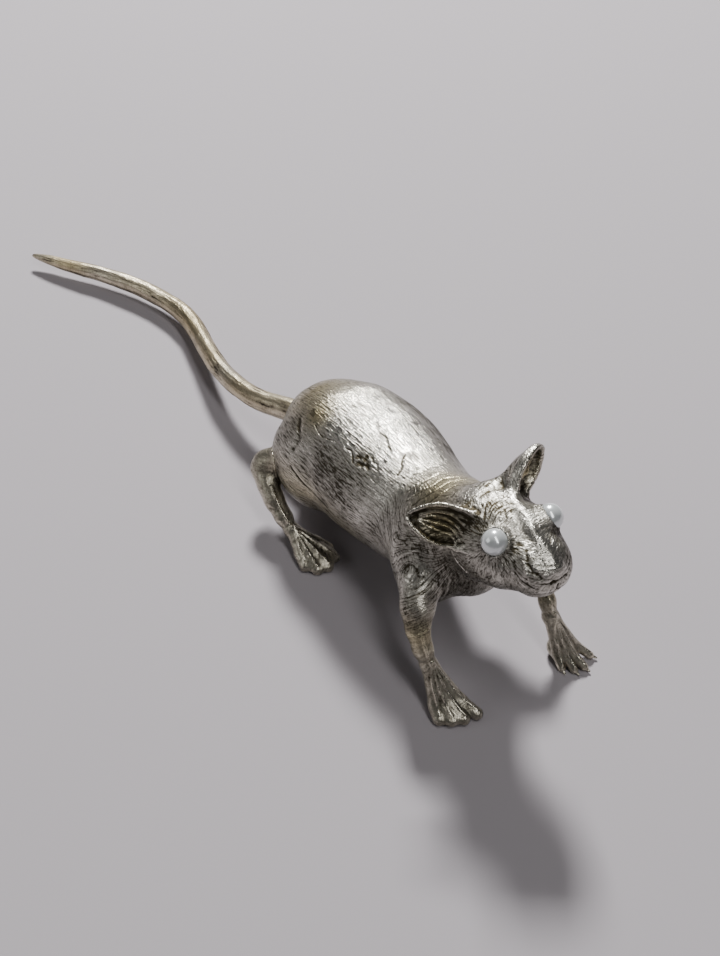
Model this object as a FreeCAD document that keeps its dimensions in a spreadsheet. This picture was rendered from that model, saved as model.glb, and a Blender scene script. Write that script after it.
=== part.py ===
import FreeCAD, Part
import math
import os

# A cast metal mouse that stands on its four feet, with two pearl eyes and a long tail.
# The mouse is laid out with its nose along +X, its left side along +Y and the floor at Z = 0.
# It is put together from hollow and solid castings: a hollow torso, a hollow head, four legs and
# a tail that plug into the torso, two half drilled pearls on posts, and a core plug in the belly.
# Every length is in millimetres.

Vector = FreeCAD.Vector
os.makedirs("parts", exist_ok=True)
doc = FreeCAD.newDocument("mouse")
sheet = doc.addObject("Spreadsheet::Sheet", "Dims")

rows_used = 0


def dim(alias, value, note):
    """One driving dimension: its word name, its plain number and what it is."""
    global rows_used
    rows_used = rows_used + 1
    sheet.set("A%d" % rows_used, note)
    sheet.set("B%d" % rows_used, repr(float(value)))
    sheet.setAlias("B%d" % rows_used, alias)
    return alias


# ---------------------------------------------------------------- single dimensions
SINGLE = (
    ("wall", 1.6, "wall of the hollow castings"),
    ("body_shift_x", 25.8, "moves the layout so the origin is under the middle of the box"),
    ("body_shift_y", 0.4, "the same, across the mouse"),
    ("leg_spigot_radius", 1.5, "spigot that holds a leg"),
    ("leg_spigot_length", 9.0, "spigot length, half of it in the leg"),
    ("tail_spigot_radius", 1.7, "spigot that holds the tail"),
    ("tail_spigot_length", 12.0, "tail spigot length"),
    ("pearl_radius", 3.0, "eye pearl"),
    ("post_radius", 0.55, "eye post"),
    ("post_length", 6.0, "eye post length"),
    ("neck_lap_radius", 9.6, "outside of the head's locating lip"),
    ("neck_lap_bore", 8.2, "inside of the lip"),
    ("neck_lap_depth", 3.0, "how far the lip reaches into the torso"),
    ("plug_radius", 4.5, "core plug in the belly"),
    ("plug_place", 8.0, "where the plug is along the torso"),
    ("toe_start", 1.6, "how far from the middle of the pad a toe begins"),
    ("toe_length", 7.0, "length of a toe"),
    ("toe_root", 1.35, "radius of a toe where it begins"),
    ("toe_end", 0.8, "radius of its tip"),
    ("ear_long", 8.4, "half length of an ear"),
    ("ear_wide", 5.0, "half width of an ear"),
    ("ear_thick", 1.7, "half thickness of an ear"),
)
size = {}
for alias, value, note in SINGLE:
    dim(alias, value, note)
    size[alias] = value

# ---------------------------------------------------------------- stations
# Oval sections: name, x, y, z of the centre, half width, half height, lean back in degrees.
TORSO = (
    ("boss", -22.0, 0.0, 15.5, 4.6, 4.5, 0.0),
    ("dock", -18.5, 0.0, 18.0, 10.5, 10.4, 0.0),
    ("rump", -10.0, 0.0, 20.5, 14.6, 14.5, 0.0),
    ("loin", 3.0, 0.0, 22.5, 16.8, 16.2, 0.0),
    ("barrel", 18.0, 0.0, 24.0, 16.6, 16.0, 0.0),
    ("ribs", 32.0, 0.0, 26.0, 14.4, 14.3, 0.0),
    ("withers", 42.0, 0.0, 29.5, 12.4, 12.3, 18.0),
    ("neck", 52.0, 0.0, 37.0, 10.6, 10.4, 40.0),
)
HEAD = (
    ("nape", 52.0, 0.0, 37.0, 10.6, 10.4, 40.0),
    ("crown", 59.0, 0.3, 42.5, 11.0, 9.8, 18.0),
    ("brow", 66.0, 0.8, 44.6, 9.8, 8.6, 5.0),
    ("bridge", 72.5, 1.2, 44.8, 7.6, 7.0, 0.0),
    ("muzzle", 78.0, 1.6, 44.6, 5.6, 5.5, -4.0),
    ("nose", 81.5, 1.8, 44.4, 3.0, 2.9, -4.0),
)
# Round sections: name, x, y, z of the centre, radius. Limbs run from the foot up.
TAIL = (
    ("tip", -133.0, -22.3, 3.8, 0.7),
    ("end", -122.0, -16.2, 4.0, 1.9),
    ("outer", -108.0, -6.8, 4.3, 2.35),
    ("bend_one", -90.5, -0.3, 4.7, 2.55),
    ("bend_mid", -74.0, -0.3, 6.1, 2.6),
    ("bend_two", -52.6, -4.9, 9.3, 2.65),
    ("inner", -36.0, -4.4, 12.1, 2.8),
    ("root", -19.0, 0.4, 15.6, 3.3),
)
FRONT = (
    ("sole", 70.6, 16.9, 2.3, 1.7),
    ("wrist", 67.0, 17.2, 4.0, 2.2),
    ("shank", 63.2, 17.8, 8.6, 2.1),
    ("fore", 60.4, 18.2, 14.5, 2.3),
    ("elbow", 57.0, 18.0, 21.5, 3.4),
    ("upper", 50.0, 13.5, 24.0, 4.6),
)
HIND = (
    ("sole", 12.4, 16.6, 2.3, 1.7),
    ("ankle", 8.6, 17.6, 4.2, 2.1),
    ("shank", 3.0, 18.6, 7.4, 2.0),
    ("fore", -4.0, 17.6, 10.9, 2.3),
    ("hock", -9.8, 16.0, 13.6, 3.1),
    ("upper", -6.5, 11.5, 17.5, 4.0),
)
# Fleshy swellings cast with the torso: name, x, y, z, half length, half width, half height.
SWELL = (
    ("haunch", -2.0, 10.5, 18.0, 11.5, 6.8, 10.5),
    ("shoulder", 46.0, 9.5, 24.5, 8.5, 7.0, 8.5),
)
# Paws: name, x, y of the pad, toe direction in degrees, pad half length, half width, half height.
PAWS = (
    ("front", 70.5, 16.8, 0.0, 4.6, 3.6, 2.6),
    ("hind", 12.5, 16.4, -10.0, 4.8, 3.6, 2.6),
)
TOE_SPREAD = (-33.0, -11.0, 11.0, 33.0)


def cells(prefix, table, fields):
    """Writes a table of stations into the sheet, one named cell for each number."""
    for row in table:
        for number, field in enumerate(fields):
            dim("%s_%s_%s" % (prefix, row[0], field), row[1 + number], "%s %s %s" % (prefix, row[0], field))


cells("torso", TORSO, ("px", "py", "pz", "wide", "high", "lean"))
cells("head", HEAD, ("px", "py", "pz", "wide", "high", "lean"))
cells("tail", TAIL, ("px", "py", "pz", "rad"))
cells("front", FRONT, ("px", "py", "pz", "rad"))
cells("hind", HIND, ("px", "py", "pz", "rad"))
cells("swell", SWELL, ("px", "py", "pz", "long", "wide", "high"))
cells("paw", PAWS, ("px", "py", "turn", "long", "wide", "high"))
doc.recompute()


def put(obj, base, rotation, exprs):
    """Places an object and ties the coordinates of its base point to the sheet."""
    obj.Placement = FreeCAD.Placement(base, rotation)
    for axis, text in zip("xyz", exprs):
        obj.setExpression("Placement.Base.%s" % axis, text)


def side_sign(side):
    return 1.0 if side == "left" else -1.0


def side_text(side, text):
    return text if side == "left" else "-(%s)" % text


def oval_loft(name, prefix, table, shrink):
    """A smooth skin through oval sections; shrink makes the matching inner skin."""
    sections = []
    for row in table:
        key = "Dims.%s_%s_" % (prefix, row[0])
        oval = doc.addObject("Part::Ellipse", "%s_%s" % (name, row[0]))
        less = " - %s * Dims.wall" % shrink if shrink else ""
        oval.MajorRadius = row[4] - shrink * size["wall"]
        oval.MinorRadius = row[5] - shrink * size["wall"]
        oval.setExpression("MajorRadius", key + "wide" + less)
        oval.setExpression("MinorRadius", key + "high" + less)
        lean = math.radians(row[6])
        along = Vector(math.cos(lean), 0, math.sin(lean))
        up = Vector(-math.sin(lean), 0, math.cos(lean))
        turn = FreeCAD.Rotation(Vector(0, 1, 0), up, along, "ZXY")
        put(oval, Vector(row[1], row[2], row[3]), turn, (key + "px", key + "py", key + "pz"))
        sections.append(oval)
    loft = doc.addObject("Part::Loft", name)
    loft.Sections = sections
    loft.Solid = True
    loft.Ruled = False
    return loft


def round_loft(name, prefix, table, sign="-", across=Vector(0, 1, 0)):
    """A limb: a smooth skin through round sections set square to the limb's centre line."""
    flip = -1.0 if sign == "-" else 1.0
    points = [Vector(row[1], flip * row[2], row[3]) for row in table]
    sections = []
    for number, row in enumerate(table):
        before = points[max(number - 1, 0)]
        after = points[min(number + 1, len(points) - 1)]
        key = "Dims.%s_%s_" % (prefix, row[0])
        ring = doc.addObject("Part::Circle", "%s_%s" % (name, row[0]))
        ring.Radius = row[4]
        ring.setExpression("Radius", key + "rad")
        turn = FreeCAD.Rotation(across, Vector(0, 0, 0), after.sub(before), "ZXY")
        put(ring, points[number], turn, (key + "px", sign + key + "py", key + "pz"))
        sections.append(ring)
    loft = doc.addObject("Part::Loft", name)
    loft.Sections = sections
    loft.Solid = True
    loft.Ruled = False
    return loft


def ovoid(name, base, exprs, radii, radius_exprs, rotation):
    """An ellipsoid whose half sizes along its own x, y and z come from the sheet."""
    body = doc.addObject("Part::Ellipsoid", name)
    body.Angle1 = -90
    body.Angle2 = 90
    for prop, value, text in zip(("Radius2", "Radius3", "Radius1"), radii, radius_exprs):
        setattr(body, prop, value)
        body.setExpression(prop, text)
    put(body, base, rotation, exprs)
    return body


def fuse(name, shapes):
    joined = doc.addObject("Part::MultiFuse", name)
    joined.Shapes = shapes
    return joined


def cut(name, base, tool):
    result = doc.addObject("Part::Cut", name)
    result.Base = base
    result.Tool = tool
    return result


def rod(name, start, direction, radius_alias, length_alias):
    """A cylinder that starts at a point and runs along a direction."""
    body = doc.addObject("Part::Cylinder", name)
    body.Radius = size[radius_alias]
    body.Height = size[length_alias]
    body.setExpression("Radius", "Dims.%s" % radius_alias)
    body.setExpression("Height", "Dims.%s" % length_alias)
    body.Placement = FreeCAD.Placement(start, FreeCAD.Rotation(Vector(0, 0, 1), direction))
    return body


level = FreeCAD.Rotation()

# ---------------------------------------------------------------- torso skin and hollow
torso_skin = oval_loft("torso_skin", "torso", TORSO, 0)
torso_core = oval_loft("torso_core", "torso", TORSO[1:], 1)

swellings = []
for row in SWELL:
    key = "Dims.swell_%s_" % row[0]
    for side in ("right", "left"):
        # The quarter turn keeps the surface's seam line inside the torso.
        inward = FreeCAD.Rotation(Vector(0, 0, 1), -90 * side_sign(side))
        swellings.append(ovoid(
            "%s_%s" % (row[0], side), Vector(row[1], side_sign(side) * row[2], row[3]),
            (key + "px", side_text(side, key + "py"), key + "pz"),
            (row[5], row[4], row[6]), (key + "wide", key + "long", key + "high"), inward))
torso_full = fuse("torso_full", [torso_skin] + swellings)

# ---------------------------------------------------------------- legs
floor = doc.addObject("Part::Box", "floor_block")
floor.Length = 400
floor.Width = 200
floor.Height = 20
floor.Placement = FreeCAD.Placement(Vector(-200, -100, -20), level)

castings = {}
spigots = {}


def mirrored(name, source):
    """The same piece for the other side of the mouse."""
    twin = doc.addObject("Part::Mirroring", name)
    twin.Source = source
    twin.Base = (0, 0, 0)
    twin.Normal = (0, 1, 0)
    return twin


for leg, table, paw in (("front", FRONT, PAWS[0]), ("hind", HIND, PAWS[1])):
    limb = round_loft("limb_" + leg, leg, table)
    key = "Dims.paw_%s_" % leg
    # The quarter turn keeps the pad's seam line away from the toes.
    turn = FreeCAD.Rotation(Vector(0, 0, 1), 90 - paw[3])
    pieces = [ovoid(
        "pad_" + leg, Vector(paw[1], -paw[2], paw[6] * 0.75),
        (key + "px", "-" + key + "py", key + "high * 0.75"),
        (paw[5], paw[4], paw[6]), (key + "wide", key + "long", key + "high"), turn)]
    for number, spread in enumerate(TOE_SPREAD):
        angle = math.radians(spread - paw[3])
        aim = Vector(math.cos(angle), math.sin(angle), 0)
        toe = doc.addObject("Part::Cone", "toe_%s_%s" % (leg, "abcd"[number]))
        toe.Radius1 = size["toe_root"]
        toe.Radius2 = size["toe_end"]
        toe.Height = size["toe_length"]
        toe.setExpression("Radius1", "Dims.toe_root")
        toe.setExpression("Radius2", "Dims.toe_end")
        toe.setExpression("Height", "Dims.toe_length")
        start = Vector(paw[1], -paw[2], 0) + aim * size["toe_start"]
        put(toe, start, FreeCAD.Rotation(Vector(0, 0, 1), aim),
            ("%spx + %.4f * Dims.toe_start" % (key, aim.x), "%.4f * Dims.toe_start - %spy" % (aim.y, key),
             "Dims.toe_root * 0.8"))
        pieces.append(toe)
    standing = cut("standing_" + leg, fuse("paw_" + leg, pieces), floor)
    outside = cut("outside_" + leg, limb, torso_full)
    # The spigot runs down the upper part of the limb, half of it in the torso.
    top = Vector(table[-1][1], -table[-1][2], table[-1][3])
    joint = Vector(table[-2][1], -table[-2][2], table[-2][3])
    direction = joint.sub(top).normalize()
    spigot = rod("spigot_" + leg, top, direction, "leg_spigot_radius", "leg_spigot_length")
    whole = fuse("leg_whole_" + leg, [outside, standing, spigot])
    castings["leg_%s_right" % leg] = whole
    castings["leg_%s_left" % leg] = mirrored("leg_twin_" + leg, whole)
    spigots[leg + "_right"] = spigot
    spigots[leg + "_left"] = mirrored("spigot_twin_" + leg, spigot)

# ---------------------------------------------------------------- tail
tail_limb = round_loft("tail_limb", "tail", TAIL, "", Vector(0, 0, 1))
tail_outside = cut("tail_outside", tail_limb, torso_full)
tail_start = Vector(-29.0, -2.8, 13.5)
tail_aim = Vector(10.0, 3.2, 2.1)
spigots["tail"] = rod("spigot_tail", tail_start, tail_aim, "tail_spigot_radius", "tail_spigot_length")
castings["tail"] = fuse("tail", [tail_outside, spigots["tail"]])

# ---------------------------------------------------------------- head
head_skin = oval_loft("head_skin", "head", HEAD, 0)
head_core = oval_loft("head_core", "head", HEAD[:5], 1)
neck_row = TORSO[-1]
neck_lean = math.radians(neck_row[6])
neck_point = Vector(neck_row[1], neck_row[2], neck_row[3])
neck_axis = Vector(math.cos(neck_lean), 0, math.sin(neck_lean))

# Each ear is a thin leaf with a scooped front, aimed out and back from the crown.
EARS = (
    ("right", Vector(56.3, -11.2, 49.6), Vector(-6.8, -11.0, -0.4)),
    ("left", Vector(56.2, 11.4, 53.2), Vector(-2.0, 10.6, 6.0)),
)
ears = []
for side, middle, aim in EARS:
    aim = aim.normalize()
    face = Vector(0.80, side_sign(side) * 0.35, 0.45)
    face = face.sub(Vector(aim).multiply(face.dot(aim))).normalize()
    across = face.cross(aim)
    turn = FreeCAD.Rotation(aim, across, face, "XYZ")
    leaf = ovoid("ear_leaf_" + side, middle, (str(middle.x), str(middle.y), str(middle.z)),
                 (size["ear_long"], size["ear_wide"], size["ear_thick"]),
                 ("Dims.ear_long", "Dims.ear_wide", "Dims.ear_thick"), turn)
    scoop_at = middle + Vector(face).multiply(1.5)
    scoop = ovoid("ear_scoop_" + side, scoop_at, (str(scoop_at.x), str(scoop_at.y), str(scoop_at.z)),
                  (size["ear_long"] * 0.86, size["ear_wide"] * 0.8, size["ear_thick"] * 0.95),
                  ("Dims.ear_long * 0.86", "Dims.ear_wide * 0.8", "Dims.ear_thick * 0.95"), turn)
    ears.append(cut("ear_" + side, leaf, scoop))

lap_start = neck_point.sub(Vector(neck_axis).multiply(size["neck_lap_depth"]))
lap = rod("neck_lap", lap_start, neck_axis, "neck_lap_radius", "neck_lap_depth")
lap.setExpression("Height", "Dims.neck_lap_depth + 0.6")
lap_seat = rod("neck_seat", lap_start, neck_axis, "neck_lap_radius", "neck_lap_depth")
lap_seat.setExpression("Height", "Dims.neck_lap_depth + 0.6")
bore_start = neck_point.sub(Vector(neck_axis).multiply(size["neck_lap_depth"] + 1.0))
lap_bore = rod("neck_bore", bore_start, neck_axis, "neck_lap_bore", "neck_lap_depth")
lap_bore.setExpression("Height", "Dims.neck_lap_depth + 3")
head_full = fuse("head_full", [head_skin] + ears + [lap])

pearls = {}
posts = {}
EYES = (("right", Vector(68.0, -6.0, 50.6)), ("left", Vector(68.6, 8.3, 50.6)))
head_middle = Vector(64.5, 0.7, 45.5)
for side, middle in EYES:
    ball = doc.addObject("Part::Sphere", "pearl_ball_" + side)
    ball.Radius = size["pearl_radius"]
    ball.setExpression("Radius", "Dims.pearl_radius")
    ball.Placement = FreeCAD.Placement(middle, level)
    inward = head_middle.sub(middle).normalize()
    posts[side] = rod("eye_post_" + side, middle, inward, "post_radius", "post_length")
    pearls[side] = ball

sockets = fuse("eye_sockets", [pearls["right"], pearls["left"], posts["right"], posts["left"]])
head_hollow = cut("head_hollow", head_full, head_core)
head_open = cut("head_open", head_hollow, lap_bore)
castings["head_shell"] = cut("head_shell", head_open, sockets)

# ---------------------------------------------------------------- torso, finished
torso_hollow = cut("torso_hollow", torso_full, torso_core)
torso_seat = cut("torso_seat", torso_hollow, lap_seat)
holes = fuse("spigot_holes", [spigots[key] for key in sorted(spigots)])
torso_drilled = cut("torso_drilled", torso_seat, holes)
plug_tool = doc.addObject("Part::Cylinder", "plug_tool")
plug_tool.Radius = size["plug_radius"]
plug_tool.Height = 16
plug_tool.setExpression("Radius", "Dims.plug_radius")
put(plug_tool, Vector(size["plug_place"], 0, 0), level, ("Dims.plug_place", "0", "0"))
castings["torso_shell"] = cut("torso_shell", torso_drilled, plug_tool)
plug = doc.addObject("Part::Common", "belly_plug")
plug.Base = torso_drilled
plug.Tool = plug_tool
castings["belly_plug"] = plug

for side in ("right", "left"):
    castings["eye_pearl_" + side] = cut("eye_pearl_" + side, pearls[side], posts[side])
    castings["eye_post_" + side] = posts[side]
doc.recompute()

# ---------------------------------------------------------------- final parts
for obj in doc.Objects:
    if "Invalid" in obj.State or "Error" in obj.State:
        raise RuntimeError("object %s did not build: %s" % (obj.Name, obj.State))

shift = FreeCAD.Placement(Vector(size["body_shift_x"], size["body_shift_y"], 0), level)
box = FreeCAD.BoundBox()
for name in sorted(castings):
    source = castings[name]
    part = doc.addObject("Part::Feature", "final_" + name)
    shape = source.Shape.copy()
    if shape.isNull() or not shape.isValid():
        raise RuntimeError("bad shape for %s" % name)
    if len(shape.Solids) != 1:
        for solid in shape.Solids:
            print(name, "loose piece", solid.Volume, solid.BoundBox)
        raise RuntimeError("%s has %d solids" % (name, len(shape.Solids)))
    part.Shape = shape.Solids[0]
    part.Label = name
    part.Placement = shift.multiply(part.Placement)
    points, faces = part.Shape.tessellate(0.1)
    for point in points:
        box.add(point)
    part.Shape.exportStep("parts/%s.step" % name)
    print(name, "volume %.1f" % part.Shape.Volume)
print("box", box)
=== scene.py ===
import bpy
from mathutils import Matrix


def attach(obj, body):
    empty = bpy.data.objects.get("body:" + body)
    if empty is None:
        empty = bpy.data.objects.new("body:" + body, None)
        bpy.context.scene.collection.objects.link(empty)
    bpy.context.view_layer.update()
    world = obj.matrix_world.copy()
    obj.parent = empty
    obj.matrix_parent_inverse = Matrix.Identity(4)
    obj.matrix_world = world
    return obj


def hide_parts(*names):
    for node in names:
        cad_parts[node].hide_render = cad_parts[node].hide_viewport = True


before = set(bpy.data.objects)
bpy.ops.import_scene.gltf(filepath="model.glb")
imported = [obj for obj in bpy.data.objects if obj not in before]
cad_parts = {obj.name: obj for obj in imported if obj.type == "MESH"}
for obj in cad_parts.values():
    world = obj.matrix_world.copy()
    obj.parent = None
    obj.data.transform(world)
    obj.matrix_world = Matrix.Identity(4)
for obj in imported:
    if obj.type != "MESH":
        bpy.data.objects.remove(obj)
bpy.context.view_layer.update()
import math

import bpy
import numpy as np
from mathutils import Vector
from mathutils.kdtree import KDTree

# The looks of a cast metal mouse with pearl eyes. The shapes are laid out in millimetres with the
# nose along +X, the left side along +Y and the floor at Z = 0, and then moved onto the CAD frame.

SHIFT = np.array([25.8, 0.4, 0.0])
MM = 0.001


# ------------------------------------------------------------------ distance functions
def smin(a, b, k):
    """The smaller of two distances, rounded over a width k where they meet."""
    h = np.clip(0.5 + 0.5 * (b - a) / k, 0.0, 1.0)
    return b + (a - b) * h - k * h * (1.0 - h)


def smax(a, b, k):
    """The larger of two distances, rounded over a width k where they meet."""
    return -smin(-a, -b, k)


def ellipsoid(p, centre, radii):
    """Roughly the distance to an ellipsoid along X, Y and Z."""
    q = p - np.asarray(centre, float)
    r = np.asarray(radii, float)
    k0 = np.sqrt(((q / r) ** 2).sum(-1))
    k1 = np.sqrt(((q / (r * r)) ** 2).sum(-1))
    return k0 * (k0 - 1.0) / np.maximum(k1, 1e-6)


def capsule(p, a, b, ra, rb):
    """Distance to a rod with round ends whose radius goes evenly from ra to rb."""
    a = np.asarray(a, float)
    b = np.asarray(b, float)
    ab = b - a
    h = np.clip(((p - a) @ ab) / (ab @ ab), 0.0, 1.0)
    gap = p - (a + h[..., None] * ab)
    return np.sqrt((gap * gap).sum(-1)) - (ra + (rb - ra) * h)


def chain(p, stations, k):
    """A limb through stations (x, y, z, radius)."""
    d = None
    for one, two in zip(stations[:-1], stations[1:]):
        rod = capsule(p, one[:3], two[:3], one[3], two[3])
        d = rod if d is None else smin(d, rod, k)
    return d


def line_gap(p, line):
    """Distance from points to a bent line."""
    best = np.full(p.shape[:-1], 1e9)
    for a, b in zip(line[:-1], line[1:]):
        best = np.minimum(best, capsule(p, a, b, 0.0, 0.0))
    return best


def axes_from(forward, up):
    """Rows: forward, sideways and up, made square to each other."""
    f = np.asarray(forward, float)
    f = f / np.linalg.norm(f)
    side = np.cross(np.asarray(up, float), f)
    side = side / np.linalg.norm(side)
    return np.array([f, side, np.cross(f, side)])


def flip(p):
    """The same points with left and right changed over."""
    return p * np.array([1.0, -1.0, 1.0])


def bump_at(p, centre, size):
    """1 at a centre, falling smoothly to 0 over a size in millimetres for each axis."""
    q = (p - np.asarray(centre, float)) / np.asarray(size, float)
    return np.exp(-(q * q).sum(-1))


def value_noise(p, scale, seed):
    """Smooth lattice noise from -1 to 1, with cells of the given size."""
    q = p / scale + seed * 17.31
    i = np.floor(q)
    f = q - i
    f = f * f * (3 - 2 * f)
    total = 0.0
    for dx in (0, 1):
        for dy in (0, 1):
            for dz in (0, 1):
                c = i + np.array([dx, dy, dz])
                h = np.sin(c @ np.array([12.9898, 78.233, 37.719]) + seed) * 43758.5453
                h = h - np.floor(h)
                w = np.where(dx, f[..., 0], 1 - f[..., 0])
                w = w * np.where(dy, f[..., 1], 1 - f[..., 1])
                w = w * np.where(dz, f[..., 2], 1 - f[..., 2])
                total = total + w * h
    return 2.0 * total - 1.0


# ------------------------------------------------------------------ the mouse
EYES = {"right": np.array([68.0, -6.0, 50.6]), "left": np.array([68.6, 8.3, 50.6])}
PEARL_RADIUS = 3.0
SOCKET_PLAY = 0.02
SOCKET_RIM = 0.35
SOCKET_DEPTH = 1.0
HEAD_CORE = np.array([66.0, 1.0, 45.0])
NECK_POINT = np.array([54.0, 0.0, 39.0])
NECK_AXIS = np.array([0.80, 0.0, 0.60])
WAIST = 24.0

# Each leg: stations (x, y, z, radius) from the body to the ankle, toe tips (x, y), toe radii at the
# knuckle and the tip, the pad of the foot, the length of the claws and the blend between the toes.
NEAR_FRONT = {
    "stations": ((51.0, -12.8, 25.8, 5.2), (55.3, -16.3, 23.6, 3.5), (57.9, -18.0, 19.7, 2.35),
                 (60.1, -18.1, 15.5, 1.95), (61.8, -17.6, 11.6, 1.85)),
    "toes": ((70.0, -20.0), (71.8, -17.8), (73.0, -15.2), (73.4, -11.9)),
    "knuckle_height": 3.4, "toe": (1.55, 1.5), "pad": (69.0, -16.3, 1.8), "pad_radii": (4.6, 4.5, 1.7),
    "claw": 0.0, "web": 0.8,
}
FAR_FRONT = {
    "stations": ((50.0, 11.5, 25.0, 5.2), (56.5, 14.6, 23.0, 3.3), (61.4, 14.6, 19.2, 1.9),
                 (64.2, 14.3, 15.0, 1.55), (65.8, 14.3, 11.5, 1.75)),
    "toes": ((73.2, 12.9), (75.3, 15.0), (75.9, 17.4), (73.8, 20.7)),
    "knuckle_height": 3.0, "toe": (1.25, 1.0), "pad": (69.6, 15.8, 2.2), "pad_radii": (4.2, 3.4, 1.9),
    "claw": 0.9, "web": 0.35,
}
HIND = {
    "stations": ((-6.5, -12.0, 18.0, 4.4), (-11.0, -15.7, 14.9, 2.8), (-10.9, -16.6, 13.2, 3.0),
                 (-6.8, -18.0, 11.3, 2.4), (-3.0, -18.7, 9.7, 2.1), (0.8, -18.7, 7.4, 1.75),
                 (4.2, -18.4, 5.4, 1.6)),
    "toes": ((13.4, -20.4), (15.9, -18.4), (16.6, -15.6), (14.9, -12.6), (11.2, -12.2)),
    "knuckle_height": 2.7, "toe": (1.35, 1.3), "pad": (12.2, -16.3, 1.7), "pad_radii": (5.2, 4.8, 1.8),
    "claw": 0.0, "web": 0.9,
}
LEGS = {
    "leg_front_right": (NEAR_FRONT, False),
    "leg_front_left": (FAR_FRONT, False),
    "leg_hind_right": (HIND, False),
    "leg_hind_left": (HIND, True),
}
# Where the fur of each front leg ends, and the way down the leg from there.
FRONT_CUT = {
    "leg_front_right": np.array([57.4, -18.2, 19.8]),
    "leg_front_left": np.array([60.8, 14.6, 19.7]),
}
CUT_AXIS = np.array([0.5, 0.0, -0.866])

# Barrel of the torso: x, middle y, middle z, half width, half height.
BARREL = np.array([
    (-8, 1.3, 20.8, 13.6, 14.0), (2, 1.8, 21.9, 16.2, 15.7), (10, 2.0, 23.0, 17.6, 16.2),
    (20, 1.2, 24.2, 16.5, 15.7), (30, 0.1, 25.7, 14.4, 14.8), (40, 0.3, 28.0, 12.8, 13.6),
    (48, 0.0, 31.0, 11.5, 12.4),
])
BARREL_CURVES = [np.polyfit(BARREL[:, 0], BARREL[:, i], 4) for i in range(1, 5)]
RUMP = ((-2.4, 0.9, 20.7), (16.4, 14.4, 14.5))
NECK_ROD = ((46, 0, 32), (57, 0.2, 41.5), 11.0, 9.6)
CHEST = ((53.0, -0.2, 28.8), (8.5, 9.0, 9.0))
HAUNCH = ((-1.5, 9.5, 18.0), (12.0, 7.4, 10.5))
SHOULDER = ((47.0, 9.0, 25.5), (8.5, 6.8, 9.5))


def barrel_sdf(p):
    """A barrel whose section follows the curves, with round ends."""
    ends = BARREL[0, 0], BARREL[-1, 0]
    x = np.clip(p[..., 0], *ends)
    y, z, wide, high = [np.polyval(curve, x) for curve in BARREL_CURVES]
    k = np.sqrt(((p[..., 1] - y) / wide) ** 2 + ((p[..., 2] - z) / high) ** 2)
    d = (k - 1.0) * np.minimum(wide, high)
    return smax(d, np.maximum(ends[0] - p[..., 0], p[..., 0] - ends[1]), 8.0)


def body_sdf(p):
    d = smin(barrel_sdf(p), ellipsoid(p, *RUMP), 5.0)
    d = smin(d, capsule(p, *NECK_ROD), 5.0)
    d = smin(d, ellipsoid(p, *CHEST), 4.0)
    for side in (-1, 1):
        mirror = np.array([1.0, side, 1.0])
        d = smin(d, ellipsoid(p, mirror * HAUNCH[0], HAUNCH[1]), 3.5)
        d = smin(d, ellipsoid(p, mirror * SHOULDER[0], SHOULDER[1]), 4.0)
    return d


def ear_sdf(p, root, tip, width, face, depth, swell, point):
    """A cupped leaf: root and tip on its middle line, face where the cup opens."""
    root = np.asarray(root, float)
    tip = np.asarray(tip, float)
    length = np.linalg.norm(tip - root)
    q = (p - root) @ axes_from(tip - root, face).T
    u = q[..., 0] / length
    v = q[..., 1]
    w = q[..., 2]
    mid = 0.36
    reach = 0.66
    a = np.abs(u - mid) / reach
    b = np.abs(v) / width
    power = np.where(u > mid, point, 2.0)
    flat = (a ** power + b ** power) ** (1 / power)
    rim = (flat - 1.0) * min(width, reach * length)
    cup = depth * (1.0 - np.clip(flat, 0, 1.2) ** 2)
    w = w + cup
    thick = 0.42 + 0.35 * np.clip(1.0 - u, 0, 1) + swell * np.exp(-((flat - 0.93) / 0.12) ** 2)
    return smax(rim, np.abs(w) - thick, 0.5)


EARS = {
    "right": dict(root=(59.2, -7.4, 47.5), tip=(49.1, -15.8, 47.8), width=4.8, face=(0.53, -0.54, 0.64),
                  depth=2.6, swell=0.5, point=1.6),
    "left": dict(root=(57.8, 8.3, 50.4), tip=(54.7, 16.2, 56.6), width=5.0, face=(0.91, 0.41, 0.05),
                 depth=3.2, swell=0.4, point=1.9),
}
# The ridge from brow to nose: x, y, z, radius.
RIDGE = ((59.4, 4.4, 51.7, 1.4), (65.0, 2.7, 52.6, 1.1), (70.4, 1.7, 51.9, 1.0), (77.3, 2.1, 48.9, 1.1))


SKULL = ((61.0, 0.3, 43.4), (11.5, 10.2, 9.2))
SNOUT = ((66.0, 0.9, 45.0), (75.4, 1.6, 44.8), 8.0, 5.4)
JAW = ((62.0, 0.4, 38.4), (73.6, 1.3, 41.7), 6.8, 4.4)
NOSE = ((78.5, 1.9, 47.5), (2.0, 2.3, 1.8))
LEFT_BROW = ((67.6, 4.6, 50.0), (4.8, 3.3, 3.4))
LEFT_EAR_WEB = ((54.2, 3.6, 49.6), (55.4, 10.4, 53.0), 1.9, 1.2)
# Lips, whisker pads and cheeks: x, middle y, step to each side, z, then radii and blend.
FACE_PAIRS = (
    ((75.4, 1.4, 2.8, 44.3), (4.0, 3.3, 3.6), 3.0),
    ((73.4, 1.4, 3.2, 46.4), (4.4, 3.7, 4.0), 3.0),
    ((67.0, 0.9, 6.3, 43.5), (6.0, 3.4, 5.0), 4.0),
)


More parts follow.
